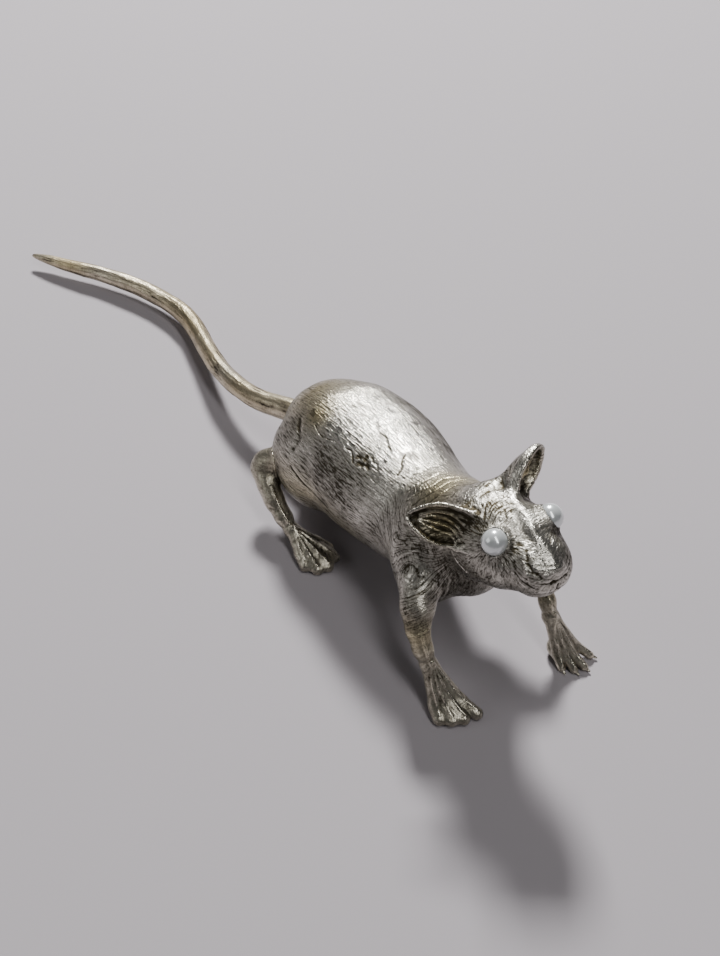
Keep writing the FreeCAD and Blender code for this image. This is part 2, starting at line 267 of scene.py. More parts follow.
def head_sdf(p):
    d = ellipsoid(p, *SKULL)
    d = smin(d, capsule(p, *SNOUT), 4.0)
    d = smin(d, capsule(p, *JAW), 4.0)
    for side in (-1, 1):
        for (x, middle, step, z), radii, blend in FACE_PAIRS:
            d = smin(d, ellipsoid(p, (x, middle + side * step, z), radii), blend)
    d = smin(d, ellipsoid(p, *NOSE), 1.0)
    d = smin(d, chain(p, RIDGE, 1.0), 1.3)
    d = smin(d, ellipsoid(p, *LEFT_BROW), 2.0)
    for ear in EARS.values():
        d = smin(d, ear_sdf(p, **ear), 2.4)
    return smin(d, capsule(p, *LEFT_EAR_WEB), 2.6)


KNUCKLE_SHARE = 0.66


def leg_sdf(p, leg):
    """A limb with a foot of toes that fan out from the ankle and touch along their sides."""
    ankle = leg["stations"][-1]
    d = chain(p, leg["stations"], 2.4)
    pad = leg["pad"]
    d = smin(d, ellipsoid(p, pad, leg["pad_radii"]), 1.4)
    root_radius, tip_radius = leg["toe"]
    for x, y in leg["toes"]:
        end = np.array([x, y, tip_radius])
        start = np.array(ankle[:3])
        knuckle = start + (end - start) * KNUCKLE_SHARE
        knuckle[2] = leg["knuckle_height"]
        d = smin(d, capsule(p, start, knuckle, ankle[3] * 0.9, root_radius), 0.9)
        d = smin(d, capsule(p, knuckle, end, root_radius, tip_radius), leg["web"])
        if leg["claw"]:
            aim = end - knuckle
            aim[2] = 0.0
            point = end + aim / np.linalg.norm(aim) * (tip_radius + leg["claw"])
            point[2] = 0.5
            d = smin(d, capsule(p, end, point, 0.5, 0.2), 0.3)
    return smax(d, -p[..., 2], 0.2)


def limb_sdf(name, p):
    leg, mirror = LEGS[name]
    return leg_sdf(flip(p) if mirror else p, leg)


def limb_region(name, p, limb):
    """Below 0 where a point belongs to the leg casting, not to the torso."""
    if name in FRONT_CUT:
        return np.maximum((FRONT_CUT[name] - p) @ CUT_AXIS, limb - 2.5)
    return (limb - body_sdf(p)) * 0.5


def creature_sdf(p, names, head=True):
    """The whole animal with its eye sockets, with only the named legs."""
    d = body_sdf(p)
    if head:
        d = smin(d, head_sdf(p), 3.0)
        for pearl in EYES.values():
            outward = (pearl - HEAD_CORE) / np.linalg.norm(pearl - HEAD_CORE)
            seat = pearl - outward * SOCKET_DEPTH
            d = smin(d, np.linalg.norm(p - seat, axis=-1) - PEARL_RADIUS - SOCKET_RIM, 1.6)
        for pearl in EYES.values():
            d = smax(d, PEARL_RADIUS + SOCKET_PLAY - np.linalg.norm(p - pearl, axis=-1), 0.3)
    for name in names:
        limb = limb_sdf(name, p)
        d = smin(d, limb, 1.8 if name in FRONT_CUT else 0.7)
    return d


# How far one skin runs under its neighbour at the waist and neck, and at the elbows.
OVERLAP = 2.2
LEG_OVERLAP = 0.6


def torso_piece(front):
    """The front or the rear half of the torso casting. Neighbours run a little under each other."""
    names = [n for n in LEGS if ("front" in n) == front]

    def inner(p):
        d = creature_sdf(p, names, head=front)
        for name in names:
            spare = LEG_OVERLAP if front else 0.0
            d = np.maximum(d, -limb_region(name, p, limb_sdf(name, p)) - spare)
        if front:
            d = np.maximum(d, (p - NECK_POINT) @ NECK_AXIS - OVERLAP)
            return np.maximum(d, WAIST - p[..., 0])
        return np.maximum(d, p[..., 0] - WAIST - OVERLAP)
    return inner


def head_piece(p):
    """The head with both ears, as far back as the neck joint."""
    return np.maximum(creature_sdf(p, []), -((p - NECK_POINT) @ NECK_AXIS))


def leg_piece(name):
    """One leg with its foot, as far up as its joint with the body."""
    def inner(p):
        d = creature_sdf(p, [name], head=False)
        return np.maximum(d, limb_region(name, p, limb_sdf(name, p)))
    return inner


# ------------------------------------------------------------------ skin from a distance function
def grid_values(sdf, low, high, cell):
    """The function on a lattice, one slab of points at a time."""
    axes = [np.arange(low[i], high[i] + cell, cell) for i in range(3)]
    y, z = np.meshgrid(axes[1], axes[2], indexing="ij")
    values = np.empty((len(axes[0]), len(axes[1]), len(axes[2])), np.float32)
    for number, x in enumerate(axes[0]):
        values[number] = sdf(np.stack([np.full_like(y, x), y, z], -1))
    return values, np.array([axes[0][0], axes[1][0], axes[2][0]])


def surface_net(values, origin, cell):
    """A closed skin of quads with one point in each lattice cell the surface crosses."""
    inside = values < 0
    corners = [(i, j, k) for i in (0, 1) for j in (0, 1) for k in (0, 1)]
    shape = tuple(n - 1 for n in values.shape)

    def corner(array, c):
        return array[c[0]:c[0] + shape[0], c[1]:c[1] + shape[1], c[2]:c[2] + shape[2]]

    count = sum(corner(inside, c).astype(np.int8) for c in corners)
    cells = np.argwhere((count > 0) & (count < 8))
    index = -np.ones(shape, np.int64)
    index[tuple(cells.T)] = np.arange(len(cells))
    total = np.zeros((len(cells), 3))
    hits = np.zeros(len(cells))
    for c in corners:
        for axis in range(3):
            if c[axis]:
                continue
            other = list(c)
            other[axis] = 1
            fa = values[tuple((cells + np.array(c)).T)]
            fb = values[tuple((cells + np.array(other)).T)]
            cross = (fa < 0) != (fb < 0)
            share = fa / np.where(cross, fa - fb, 1.0)
            point = np.tile(np.array(c, float), (len(cells), 1))
            point[:, axis] = share
            total[cross] += point[cross]
            hits[cross] += 1
    points = origin + (cells + total / hits[:, None]) * cell
    quads = []
    for axis in range(3):
        a1, a2 = (axis + 1) % 3, (axis + 2) % 3
        low = [slice(None)] * 3
        high = [slice(None)] * 3
        low[axis] = slice(0, -1)
        high[axis] = slice(1, None)
        one = inside[tuple(low)]
        two = inside[tuple(high)]
        edges = np.argwhere(one != two)
        keep = (edges[:, a1] > 0) & (edges[:, a2] > 0)
        keep &= (edges[:, a1] < shape[a1]) & (edges[:, a2] < shape[a2])
        edges = edges[keep]
        outward = one[tuple(edges.T)]
        ring = []
        for s1, s2 in ((1, 1), (0, 1), (0, 0), (1, 0)):
            at = edges.copy()
            at[:, a1] -= s1
            at[:, a2] -= s2
            ring.append(index[tuple(at.T)])
        ring = np.stack(ring, 1)
        ring[~outward] = ring[~outward][:, ::-1]
        quads.append(ring)
    return points, np.concatenate(quads)


def split_quads(points, quads):
    """Each quad becomes four."""
    edges = np.sort(np.concatenate([quads[:, [i, (i + 1) % 4]] for i in range(4)]), axis=1)
    unique, inverse = np.unique(edges, axis=0, return_inverse=True)
    inverse = inverse.reshape(4, len(quads)).T
    mids = points[unique].mean(1)
    centres = points[quads].mean(1)
    m0 = len(points)
    c = m0 + len(unique) + np.arange(len(quads))
    out = []
    for i in range(4):
        out.append(np.stack([quads[:, i], m0 + inverse[:, i], c, m0 + inverse[:, (i + 3) % 4]], 1))
    return np.concatenate([points, mids, centres]), np.concatenate(out)


def slope(sdf, p, step=0.02):
    """The direction and steepness of the function, from its values close by."""
    g = np.empty_like(p)
    for axis in range(3):
        off = np.zeros(3)
        off[axis] = step
        g[:, axis] = (sdf(p + off) - sdf(p - off)) / (2 * step)
    return g


def settle(sdf, points, rounds):
    """Moves points onto the surface."""
    for _ in range(rounds):
        g = slope(sdf, points)
        d = sdf(points)
        points = points - g * (d / np.maximum((g * g).sum(1), 0.15))[:, None]
    return points


def neighbour_mean(values, quads):
    """For each point the mean over the points it shares an edge with."""
    total = np.zeros_like(values)
    hits = np.zeros(len(values))
    for i in range(4):
        for j in (1, 3):
            np.add.at(total, quads[:, i], values[quads[:, (i + j) % 4]])
            np.add.at(hits, quads[:, i], 1)
    return total / (hits[:, None] if values.ndim > 1 else hits)


def skin(sdf, low, high, cell):
    """A fine, even skin of quads on the surface within a box."""
    values, origin = grid_values(sdf, low, high, cell)
    points, quads = surface_net(values, origin, cell)
    points = settle(sdf, points, 2)
    points, quads = split_quads(points, quads)
    points = points + (neighbour_mean(points, quads) - points) * 0.6
    return settle(sdf, points, 1), quads


def point_normals(points, quads):
    """The mean normal of the quads round each point."""
    n = np.cross(points[quads[:, 2]] - points[quads[:, 0]], points[quads[:, 3]] - points[quads[:, 1]])
    n = n / np.maximum(np.linalg.norm(n, axis=1), 1e-12)[:, None]
    total = np.zeros_like(points)
    for i in range(4):
        np.add.at(total, quads[:, i], n)
    return total / np.maximum(np.linalg.norm(total, axis=1), 1e-9)[:, None]


def surface_hollow(points, quads, rounds):
    """How far a point lies in a hollow of the skin, in millimetres, and below 0 on a bulge."""
    mean = points
    for _ in range(rounds):
        mean = neighbour_mean(mean, quads)
    return ((mean - points) * point_normals(points, quads)).sum(1)


# ------------------------------------------------------------------ the worked surface
RANDOM = np.random.default_rng(7)
SHOULDER_POINT = np.array([49.0, 14.0, 30.0])


def spine_height(x):
    """Height of the middle of the body."""
    return np.interp(x, (-20, 9, 24, 38, 57), (20, 23, 25, 28, 41))


def along_body(c, n):
    """Strokes that follow the body from rump to neck and sink a little towards the belly."""
    d = np.tile(np.array([1.0, 0.0, 0.0]), (len(c), 1))
    d[:, 2] -= 0.25 * np.clip((28 - c[:, 2]) / 12.0, -0.5, 1.0)
    return d


def shoulder_whirl(c, n):
    """Strokes that turn about the point of each shoulder."""
    side = np.sign(c[:, 1])
    middle = SHOULDER_POINT * np.stack([np.ones(len(c)), side, np.ones(len(c))], 1)
    return np.cross(n, c - middle) * side[:, None] + np.array([0.0, 0.0, -4.0])


def head_fur(c, n):
    """Strokes that spread out from round each eye and sweep back from the nose."""
    d = np.tile(np.array([-1.2, 0.0, -0.3]), (len(c), 1))
    for eye in EYES.values():
        gap = c - eye
        far = np.linalg.norm(gap, axis=1)[:, None]
        d = d + gap / far * 5.5 * np.exp(-(far / 8.0) ** 2)
    return d


def strokes_on(points, normals, weight, count, field, length, width, depth, wander):
    """Picks points by weight and lays one short stroke on each, along the field."""
    pick = RANDOM.choice(len(points), size=count, replace=True, p=weight / weight.sum())
    c = points[pick] + RANDOM.normal(0, 0.15, (count, 3))
    n = normals[pick]
    d = field(c, n)
    d = d - n * (d * n).sum(1)[:, None]
    d = d / np.maximum(np.linalg.norm(d, axis=1), 1e-6)[:, None]
    turn = RANDOM.normal(0, wander, count)[:, None]
    d = d * np.cos(turn) + np.cross(n, d) * np.sin(turn)
    return {
        "c": c,
        "d": d,
        "length": length * RANDOM.uniform(0.6, 1.4, count),
        "width": width * RANDOM.uniform(0.7, 1.3, count),
        "depth": depth * RANDOM.uniform(0.5, 1.3, count),
    }


def stroke_depth(points, strokes, near):
    """How deep the strokes have cut at each point."""
    tree = KDTree(len(strokes["c"]))
    for i, c in enumerate(strokes["c"]):
        tree.insert(c, i)
    tree.balance()
    found = np.array([[hit[1] for hit in tree.find_n(p, near)] for p in points])
    cut = np.zeros(len(points))
    for k in range(near):
        s = found[:, k]
        gap = points - strokes["c"][s]
        run = (gap * strokes["d"][s]).sum(1)
        across = np.sqrt(np.maximum((gap * gap).sum(1) - run * run, 0.0))
        ends = np.clip(1.0 - (run / (strokes["length"][s] * 0.5)) ** 2, 0.0, 1.0)
        groove = np.exp(-(across / strokes["width"][s]) ** 2)
        cut = np.maximum(cut, strokes["depth"][s] * ends * groove)
    return cut


# Marks cut on the back, the haunch and the shoulder: width, depth and the bent line. A depth below 0
# is a raised line.
MARKS = (
    (0.20, 0.22, ((14.4, -8.8, 36.7), (15.8, -8.5, 36.9), (17.4, -9.0, 36.7), (18.8, -10.0, 36.2))),
    (0.20, 0.22, ((22.0, -6.4, 38.4), (23.2, -7.0, 38.2), (24.2, -6.8, 38.4), (25.8, -7.4, 38.2))),
    (0.45, 0.20, ((18.6, -8.4, 37.0), (19.4, -8.1, 37.3))),
    (0.50, 0.22, ((20.2, -9.2, 36.7), (21.4, -9.0, 36.9))),
    (0.40, 0.20, ((20.6, -7.2, 38.0), (21.0, -7.8, 37.7))),
    (0.45, 0.20, ((22.6, -8.4, 37.5), (23.6, -8.7, 37.3))),
    (0.50, 0.28, ((13.2, 0.3, 39.3), (15.0, 0.0, 39.4))),
    (0.20, 0.28, ((17.1, -1.0, 39.5), (19.4, -0.8, 39.8), (21.4, -1.8, 39.8), (23.8, -2.3, 40.0))),
    (0.20, 0.24, ((30.8, -5.3, 39.1), (30.0, -3.6, 39.6), (28.2, -2.3, 39.8), (26.8, -0.4, 40.0))),
    (0.18, 0.20, ((33.6, -2.8, 40.0), (34.6, -0.6, 40.6), (34.2, 1.4, 40.5), (35.0, 3.4, 40.2))),
    (0.22, 0.22, ((38.7, -7.9, 39.0), (40.0, -5.4, 41.0), (41.2, -2.6, 42.5), (41.0, 0.4, 43.0),
                  (42.4, 3.6, 42.9))),
    (0.22, 0.20, ((41.0, -8.4, 40.2), (42.4, -5.6, 42.3), (43.5, -2.8, 43.5), (43.4, 0.0, 44.0),
                  (44.7, 3.0, 44.0))),
    (0.22, 0.18, ((43.6, -8.6, 41.4), (44.9, -6.0, 43.5), (45.6, -3.0, 45.0), (45.9, 0.2, 45.5))),
    (0.20, 0.18, ((36.4, -6.9, 39.4), (37.6, -4.2, 40.6), (38.4, -1.6, 41.4), (38.2, 1.2, 41.6))),
    (0.80, 0.24, ((-4.6, -10.2, 32.0), (-2.0, -12.2, 31.2), (-0.2, -13.2, 29.6), (-0.4, -14.4, 27.6))),
    (0.34, 0.24, ((1.0, -16.0, 23.6), (6.0, -17.0, 22.2), (11.0, -17.4, 21.4), (16.0, -17.2, 21.4))),
    (0.20, 0.18, ((1.4, -9.6, 34.6), (4.0, -10.3, 34.5), (7.0, -10.1, 35.0), (10.0, -9.4, 36.0))),
    (0.26, -0.24, ((56.0, -7.6, 30.0), (55.9, -8.4, 28.2), (55.8, -8.9, 26.4), (55.3, -9.5, 24.6))),
    (0.26, -0.20, ((43.5, -14.8, 27.0), (45.0, -14.6, 29.6), (46.8, -13.4, 32.2), (49.0, -12.2, 34.6))),
)
# The mouth, the nostrils, and creases and raised lines of the cheeks.
FACE_MARKS = (
    (0.28, 0.4, ((80.4, 1.6, 44.6), (79.6, 1.2, 42.8), (77.6, -1.6, 42.0), (74.4, -3.6, 41.8))),
    (0.28, 0.4, ((79.6, 2.0, 42.8), (77.6, 4.4, 42.0), (74.4, 5.8, 41.8))),
    (0.30, 0.30, ((80.7, 0.4, 46.0), (80.4, -0.2, 45.7))),
    (0.30, 0.30, ((80.7, 3.4, 46.0), (80.4, 4.0, 45.7))),
    (0.35, 0.18, ((73.6, -1.8, 49.2), (75.2, -2.4, 48.2), (76.6, -2.2, 47.4), (78.2, -1.4, 46.6))),
    (0.35, 0.18, ((73.6, -3.6, 48.0), (75.2, -4.4, 46.6), (76.6, -4.2, 45.8), (78.2, -3.2, 45.0))),
    (0.40, -0.28, ((74.8, -2.8, 48.2), (76.6, -3.2, 46.9))),
    (0.30, 0.22, ((59.5, -8.4, 41.0), (61.0, -9.2, 39.8), (63.0, -9.2, 38.4), (65.6, -8.4, 37.6))),
    (0.30, -0.22, ((58.2, -9.2, 42.6), (59.2, -10.1, 41.0), (60.6, -10.3, 39.2), (63.0, -9.6, 37.6))),
)


# Half of an ear's rim: shares of its length and of its width.
EAR_RIM = ((0.92, 0.22), (0.7, 0.62), (0.4, 0.88), (0.1, 0.82), (-0.15, 0.6))


def ear_marks(ear):
    """Folds inside the cup that run from near the tip and curl round at the root, and a rolled rim."""
    root = np.asarray(ear["root"])
    tip = np.asarray(ear["tip"])
    turn = axes_from(tip - root, ear["face"])
    marks = []
    length = np.linalg.norm(tip - root)
    for share in (-0.55, -0.25, 0.05, 0.35):
        fold = ((0.78, 0.35 * share), (0.48, 0.85 * share), (0.18, share + 0.08), (-0.08, share + 0.36))
        line = [root + np.array([u * length, v * ear["width"], -0.8]) @ turn for u, v in fold]
        marks.append((0.32, -0.36, tuple(line)))
    for side in (-1, 1):
        line = [root + np.array([u * length, side * ear["width"] * v, 0.3]) @ turn for u, v in EAR_RIM]
        marks.append((0.55, -0.30, tuple(line)))
    return marks


def tendon_marks(leg, mirror):
    """Raised cords from the ankle over each toe, and one down the front of the leg."""
    marks = []
    ankle = np.asarray(leg["stations"][-1][:3]) + np.array([0.6, 0.0, 1.6])
    for x, y in leg["toes"]:
        end = np.array([x, y, leg["toe"][1] * 1.9])
        knuckle = ankle + (end - ankle) * 0.6
        knuckle[2] = leg["knuckle_height"] + leg["toe"][0]
        marks.append((0.30, -0.24, (ankle, knuckle, end)))
    cord = [np.asarray(s[:3]) + np.array([0.75, -0.2, 0.6]) * s[3] for s in leg["stations"][-4:]]
    marks.append((0.38, -0.28, tuple(cord)))
    if mirror:
        return [(w, h, tuple(flip(np.asarray(q)) for q in line)) for w, h, line in marks]
    return marks


def smooth_path(stations, count):
    """Catmull-Rom through the stations, evenly spaced by length."""
    s = np.asarray(stations, float)
    s = np.vstack([2 * s[0] - s[1], s, 2 * s[-1] - s[-2]])
    width = s.shape[1]
    fine = []
    t = np.linspace(0, 1, 24, endpoint=False)[:, None]
    for i in range(1, len(s) - 2):
        a, b, c, d = s[i - 1:i + 3]
        fine.append(0.5 * (2 * b + (c - a) * t + (2 * a - 5 * b + 4 * c - d) * t ** 2
                           + (3 * b - a - 3 * c + d) * t ** 3))
    fine = np.vstack(fine + [s[-2:-1]])
    walk = np.concatenate([[0], np.cumsum(np.linalg.norm(np.diff(fine[:, :3], axis=0), axis=1))])
    at = np.linspace(0, walk[-1], count)
    return np.stack([np.interp(at, walk, fine[:, i]) for i in range(width)], 1), at


def marks_depth(sdf, points, marks):
    """How deep the marks have cut at each point. Raised ones count below 0."""
    cut = np.zeros(len(points))
    for width, depth, line in marks:
        line = settle(sdf, smooth_path(line, 4 * len(line))[0], 4)
        reach = np.linalg.norm(np.ptp(line, axis=0)) + 3.0
        near = np.linalg.norm(points - line.mean(0), axis=1) < reach
        if near.any():
            here = points[near]
            ragged = 1.0 + 0.6 * value_noise(here, 1.3, 31)
            cut[near] += depth * ragged * np.exp(-(line_gap(here, line) / width) ** 2)
    return cut


# ------------------------------------------------------------------ objects and materials
def add_piece(name, points, quads, material, nodes, looks=None):
    """One visual piece. Looks are numbers for each point that its material reads."""
    mesh = bpy.data.meshes.new(name)
    world = (points + SHIFT) * MM
    mesh.vertices.add(len(world))
    mesh.vertices.foreach_set("co", world.astype(np.float32).ravel())
    mesh.loops.add(quads.size)
    mesh.loops.foreach_set("vertex_index", quads.astype(np.int32).ravel())
    mesh.polygons.add(len(quads))
    mesh.polygons.foreach_set("loop_start", np.arange(0, quads.size, quads.shape[1], dtype=np.int32))
    mesh.update(calc_edges=True)
    mesh.polygons.foreach_set("use_smooth", np.full(len(quads), True))
    for look, values in (looks or {}).items():
        if values.ndim == 2:
            layer = mesh.attributes.new(look, "FLOAT_VECTOR", "POINT")
            layer.data.foreach_set("vector", values.astype(np.float32).ravel())
            continue
        layer = mesh.attributes.new(look, "FLOAT", "POINT")
        layer.data.foreach_set("value", values.astype(np.float32))
    mesh.materials.append(material)
    piece = bpy.data.objects.new(name, mesh)
    bpy.context.collection.objects.link(piece)
    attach(piece, "root")
    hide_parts(*nodes)
    print(name, len(points), "points", len(quads), "quads")


def link_value(tree, kind, inputs, **settings):
    """A node with its settings made and its inputs linked or filled in."""
    node = tree.nodes.new(kind)
    for key, value in settings.items():
        setattr(node, key, value)
    for key, value in inputs.items():
        if isinstance(value, bpy.types.NodeSocket):
            tree.links.new(value, node.inputs[key])
        else:
            node.inputs[key].default_value = value
    return node


def aged_metal(name, bright, brass, dark, rough, grain, combed):
    """Worn cast metal: dark in the cuts, bright on the high spots, brassy in places. The darkness it reads
    also holds painted highlights and painted shade.
    """
    material = bpy.data.materials.new(name)
    material.use_nodes = True
    tree = material.node_tree
    shader = tree.nodes["Principled BSDF"]

    def remap(value, low, high, to_low, to_high):
        return link_value(tree, "ShaderNodeMapRange", {
            "Value": value, "From Min": low, "From Max": high, "To Min": to_low, "To Max": to_high,
        }).outputs["Result"]

    def math_of(kind, a, b, clamp=False):
        return link_value(tree, "ShaderNodeMath", {0: a, 1: b}, operation=kind, use_clamp=clamp).outputs[0]

    def mix_of(share, a, b):
        mix = link_value(tree, "ShaderNodeMix", {0: share, 6: a, 7: b}, data_type="RGBA")
        return mix.outputs[2]

    def look(attribute):
        return link_value(tree, "ShaderNodeAttribute", {}, attribute_name=attribute)

    def noise(vector, scale, detail):
        inputs = {"Vector": vector, "Scale": scale, "Detail": detail}
        return link_value(tree, "ShaderNodeTexNoise", inputs).outputs["Fac"]

    where = tree.nodes.new("ShaderNodeTexCoord").outputs["Object"]
    lines_at = {"Vector": look("comb").outputs["Vector"], "Scale": (0.30, 3.2, 1.0)}
    lines = noise(link_value(tree, "ShaderNodeMapping", lines_at).outputs[0], 1.0, 3.0)
    speck = noise(where, 2200.0, 4.0)
    uneven = remap(speck, 0.40, 0.72, -0.04, 0.34)
    worn = remap(noise(where, 170.0, 3.0), 0.35, 0.68, -0.05, 0.30)
    combs = math_of("MULTIPLY", remap(lines, 0.46, 0.70, 0.0, combed), look("lined").outputs["Fac"])
    # The skin's darkness: patina in cuts and hollows, with painted highlights below 0 and painted shade
    # mixed in.
    stains_and_painted_light = math_of("ADD", look("patina_and_painted_light").outputs["Fac"], combs)
    total = math_of("ADD", math_of("ADD", uneven, worn), stains_and_painted_light, True)
    tinted = mix_of(look("warm").outputs["Fac"], (*bright, 1), (*brass, 1))
    tree.links.new(mix_of(total, tinted, (*dark, 1)), shader.inputs["Base Color"])
    tree.links.new(remap(total, 0.0, 1.0, rough, rough + 0.30), shader.inputs["Roughness"])
    height = math_of("SUBTRACT", speck, combs)
    bump = link_value(tree, "ShaderNodeBump", {"Height": height, "Strength": grain, "Distance": 0.00025})
    tree.links.new(bump.outputs["Normal"], shader.inputs["Normal"])
    shader.inputs["Metallic"].default_value = 1.0
    return material


def pearl_material():
    """Lustrous pearl: a pale grey-blue ball that is half diffuse and half glossy under a clear coat."""
    material = bpy.data.materials.new("pearl")
    material.use_nodes = True
    tree = material.node_tree
    shader = tree.nodes["Principled BSDF"]
    cloud = link_value(tree, "ShaderNodeTexNoise", {"Scale": 260.0, "Detail": 2.0}).outputs["Fac"]
    range_of = link_value(tree, "ShaderNodeMapRange", {"Value": cloud, "To Min": 0.18, "To Max": 0.28})
    tree.links.new(range_of.outputs["Result"], shader.inputs["Roughness"])
    shader.inputs["Base Color"].default_value = (0.80, 0.83, 0.83, 1)
    shader.inputs["Metallic"].default_value = 0.45
    shader.inputs["Coat Weight"].default_value = 1.0
    shader.inputs["Coat Roughness"].default_value = 0.10
    return material


METALS = {
    "body_metal": dict(bright=(0.57, 0.545, 0.485), brass=(0.44, 0.37, 0.20), dark=(0.042, 0.035, 0.022),
                       rough=0.24, grain=0.45, combed=0.78),
    "leg_metal": dict(bright=(0.57, 0.53, 0.43), brass=(0.46, 0.40, 0.23), dark=(0.042, 0.035, 0.022),
                      rough=0.27, grain=0.40, combed=0.40),
    "tail_metal": dict(bright=(0.60, 0.54, 0.42), brass=(0.60, 0.49, 0.28), dark=(0.05, 0.04, 0.03),
                       rough=0.30, grain=0.3, combed=0.0),
}
MATERIALS = {name: aged_metal(name, **look) for name, look in METALS.items()}
MATERIALS["pearl"] = pearl_material()

# Furred pieces: shape, box, lattice size and the CAD nodes each one stands for.
FURRED = {
    "torso_rear": dict(sdf=torso_piece(False), low=(-22, -22, 4), high=(26, 22, 44), cell=0.58,
                       nodes=["torso_shell", "belly_plug"]),
    "torso_front": dict(sdf=torso_piece(True), low=(22, -24, 4), high=(68, 24, 54), cell=0.58,
                        nodes=["torso_shell"]),
    "head": dict(sdf=head_piece, low=(44, -21, 28), high=(84, 21, 62), cell=0.46, nodes=["head_shell"]),
}
LEG_CELL = 0.36
# Boxes round the left legs.
FRONT_LEG_BOX = ((52, 6, -0.8), (82, 26, 26))
HIND_LEG_BOX = ((-18, 5, -0.8), (22, 25, 26))

SKINS = {}
for name, piece in FURRED.items():
    SKINS[name] = skin(piece["sdf"], piece["low"], piece["high"], piece["cell"])
for name in LEGS:
    low, high = FRONT_LEG_BOX if "front" in name else HIND_LEG_BOX
    if "right" in name:
        low, high = (low[0], -high[1], low[2]), (high[0], -low[1], high[2])
    SKINS[name] = skin(leg_piece(name), low, high, LEG_CELL)


def ridge_share(points):
    """1 along the ridge from brow to nose, falling to 0 beside it."""
    return np.exp(-(line_gap(points, [station[:3] for station in RIDGE]) / 1.9) ** 2)


def patches(points, spots):
    """The sum of soft patches, each with a centre, a size along each axis and an amount."""
    return sum(amount * bump_at(points, centre, size) for centre, size, amount in spots)


COMBED_FLANKS = (((14, -13, 31), (12, 5, 5), 1.0), ((14, 15, 31), (12, 5, 5), 1.0))
SMOOTH_BACK = (((18, 2, 40), (17, 8, 7), 1.0),)
COATS = {
    "head": dict(count=5200, field=head_fur, length=1.7, width=0.13, depth=0.10, wander=0.20),
    "flanks": dict(count=2600, field=along_body, length=4.0, width=0.14, depth=0.09, wander=0.08),
    "body": dict(count=2600, field=along_body, length=2.2, width=0.13, depth=0.05, wander=0.6),
    "shoulders": dict(count=4600, field=shoulder_whirl, length=2.0, width=0.14, depth=0.09, wander=0.18),
}


def fur_strokes():
    """Every stroke of the torso and head, in one list, so that they run across the joints."""
    layers = []

    def add(points, normals, weight, coat):
        layers.append(strokes_on(points, normals, weight, **COATS[coat]))

    points, quads = SKINS["head"]
    hearts = [0.5 * (np.asarray(ear["root"]) + np.asarray(ear["tip"])) for ear in EARS.values()]
    ear_gap = np.min([np.linalg.norm(points - heart, axis=1) for heart in hearts], axis=0)
    weight = np.clip((ear_gap - 4.0) / 3.0, 0.02, 1.0) * (1.0 - 0.85 * ridge_share(points))
    add(points, point_normals(points, quads), weight, "head")
    halves = [SKINS["torso_rear"], SKINS["torso_front"]]
    points = np.concatenate([half[0] for half in halves])
    normals = np.concatenate([point_normals(*half) for half in halves])
    hatch = patches(points, COMBED_FLANKS)
    polish = np.clip(patches(points, SMOOTH_BACK), 0, 1)
    forward = np.clip((points[:, 0] - 38.0) / 12.0, 0.0, 1.0)
    forward = forward * np.clip((40 - points[:, 2]) / 8, 0.1, 1)
    add(points, normals, 0.06 + 2.4 * hatch, "flanks")
    add(points, normals, 1.0 - 0.85 * polish, "body")
    add(points, normals, forward, "shoulders")
    return {key: np.concatenate([layer[key] for layer in layers]) for key in layers[0]}


def comb(points, radiate):
    """How far along and across the fine lines each point lies. On the head they radiate from the eyes."""
    if radiate:
        out = np.zeros((len(points), 3))
        on_right = points[:, 1] < 1.2
        for eye, mine in ((EYES["right"], on_right), (EYES["left"], ~on_right)):
            gap = points[mine] - eye
            out[mine, 0] = np.linalg.norm(gap, axis=1)
            out[mine, 1] = 9.0 * np.arctan2(gap[:, 2], gap[:, 0])
        return out
    turn = np.arctan2(points[:, 1], points[:, 2] - spine_height(points[:, 0]) + 3.0)
    across = 15.0 * turn
    for side in (-1, 1):
        gap = points - (SHOULDER_POINT * np.array([1, side, 1]) + np.array([0, 0, 1.0]))
        share = np.clip(1.3 - np.linalg.norm(gap * np.array([1, 0.8, 0.8]), axis=1) / 13.0, 0, 1)
        share = share * share * (3 - 2 * share)
        across = across + share * (0.8 * np.linalg.norm(gap[:, [0, 2]], axis=1) - 0.3 * across)
    return np.stack([points[:, 0], across, np.zeros(len(points))], 1)


# How stained each kind of piece is before its cuts and folds are counted.
PATINA = {"torso": 0.04, "head": 0.10, "leg": 0.13}
# How much darker a point is for each millimetre of a stroke, a cut, a hollow and so on.
STAIN = {"stroke": 4.0, "cut": 1.8, "raised": 1.2, "hollow": 5.0, "leg_hollow": 3.5, "bulge": 4.0}
# How much lighter the bright spots and the ridge from brow to nose are made: painted highlights, partly
# rubbed metal too.
POLISH_AND_HIGHLIGHT = 0.42
HOLLOW_ROUNDS = 8
STROKES_NEAR = 10
# Sinking of a skin's edge where its neighbour lies over it.
UNDER_HEAD = 0.10
UNDER_FRONT = 0.05
# Spots made lighter: painted highlights, partly rubbed metal too, on the top of the back, the nose tip and
# the haunch.
BRIGHT_SPOTS = (((18, 3, 40), (19, 9, 8), 1.0), ((78, 1.5, 49), (3, 3, 3), 0.7),
                ((2, -13, 32), (6, 4, 5), 0.6))
NAPE = ((45, -1, 43), (9, 10, 5))
DARK_SPOTS = ((*NAPE, 0.15), ((60.0, -3.0, 52.0), (5, 5, 4), 0.22))
DARK_TORSO_SPOTS = (((15, -14, 30), (12, 4, 5), 0.40), ((15, 16, 30), (12, 4, 5), 0.40),
                    ((20.8, -8.2, 37.3), (3, 2, 2), 0.35))
BRASSY_SPOTS = (((-9, -2, 33), (9, 9, 7), 0.9), (*NAPE, 0.9), ((10, -17, 19), (18, 5, 6), 0.6),
                ((0, -8, 36), (4, 4, 4), 0.7))
ELBOWS = tuple((joint, (6, 6, 5), 1.0) for joint in FRONT_CUT.values())


